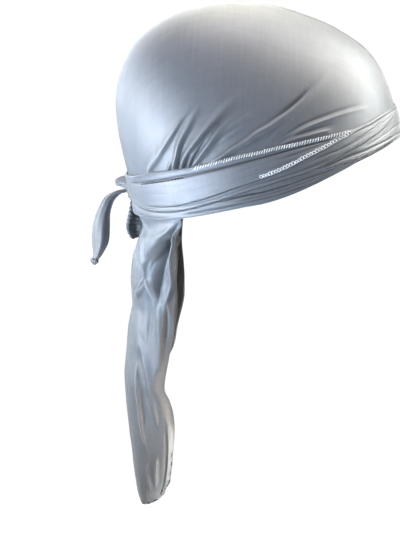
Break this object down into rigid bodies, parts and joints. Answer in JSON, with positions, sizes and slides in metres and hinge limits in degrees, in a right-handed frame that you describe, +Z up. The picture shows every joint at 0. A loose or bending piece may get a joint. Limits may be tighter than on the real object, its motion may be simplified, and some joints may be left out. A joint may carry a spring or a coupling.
{
  "type": "durag",
  "caption": "Silky grey durag as worn: stretched crown with pull folds, straps wound round the opening and knotted at the back, and a long cape hanging from the nape.",
  "frame": {"origin": "centre of the head opening, in the plane of the wraps", "axes": "+Z up, -Y towards the forehead, +X towards the wearer's left"},
  "size_m": [0.1584, 0.2171, 0.3631],
  "materials": {
    "satin": "silky grey polyester satin, soft sheen",
    "pale_satin": "the same satin, where it catches more light"
  },
  "bodies": {
    "root": {"crown": "satin", "upper_wrap": "pale_satin", "middle_wrap": "satin", "lower_wrap": "satin", "cape": "pale_satin", "knot": "satin", "short_strap_end": "pale_satin", "tucked_strap_end": "satin", "knot_ear": "pale_satin"}
  },
  "joints": []
}
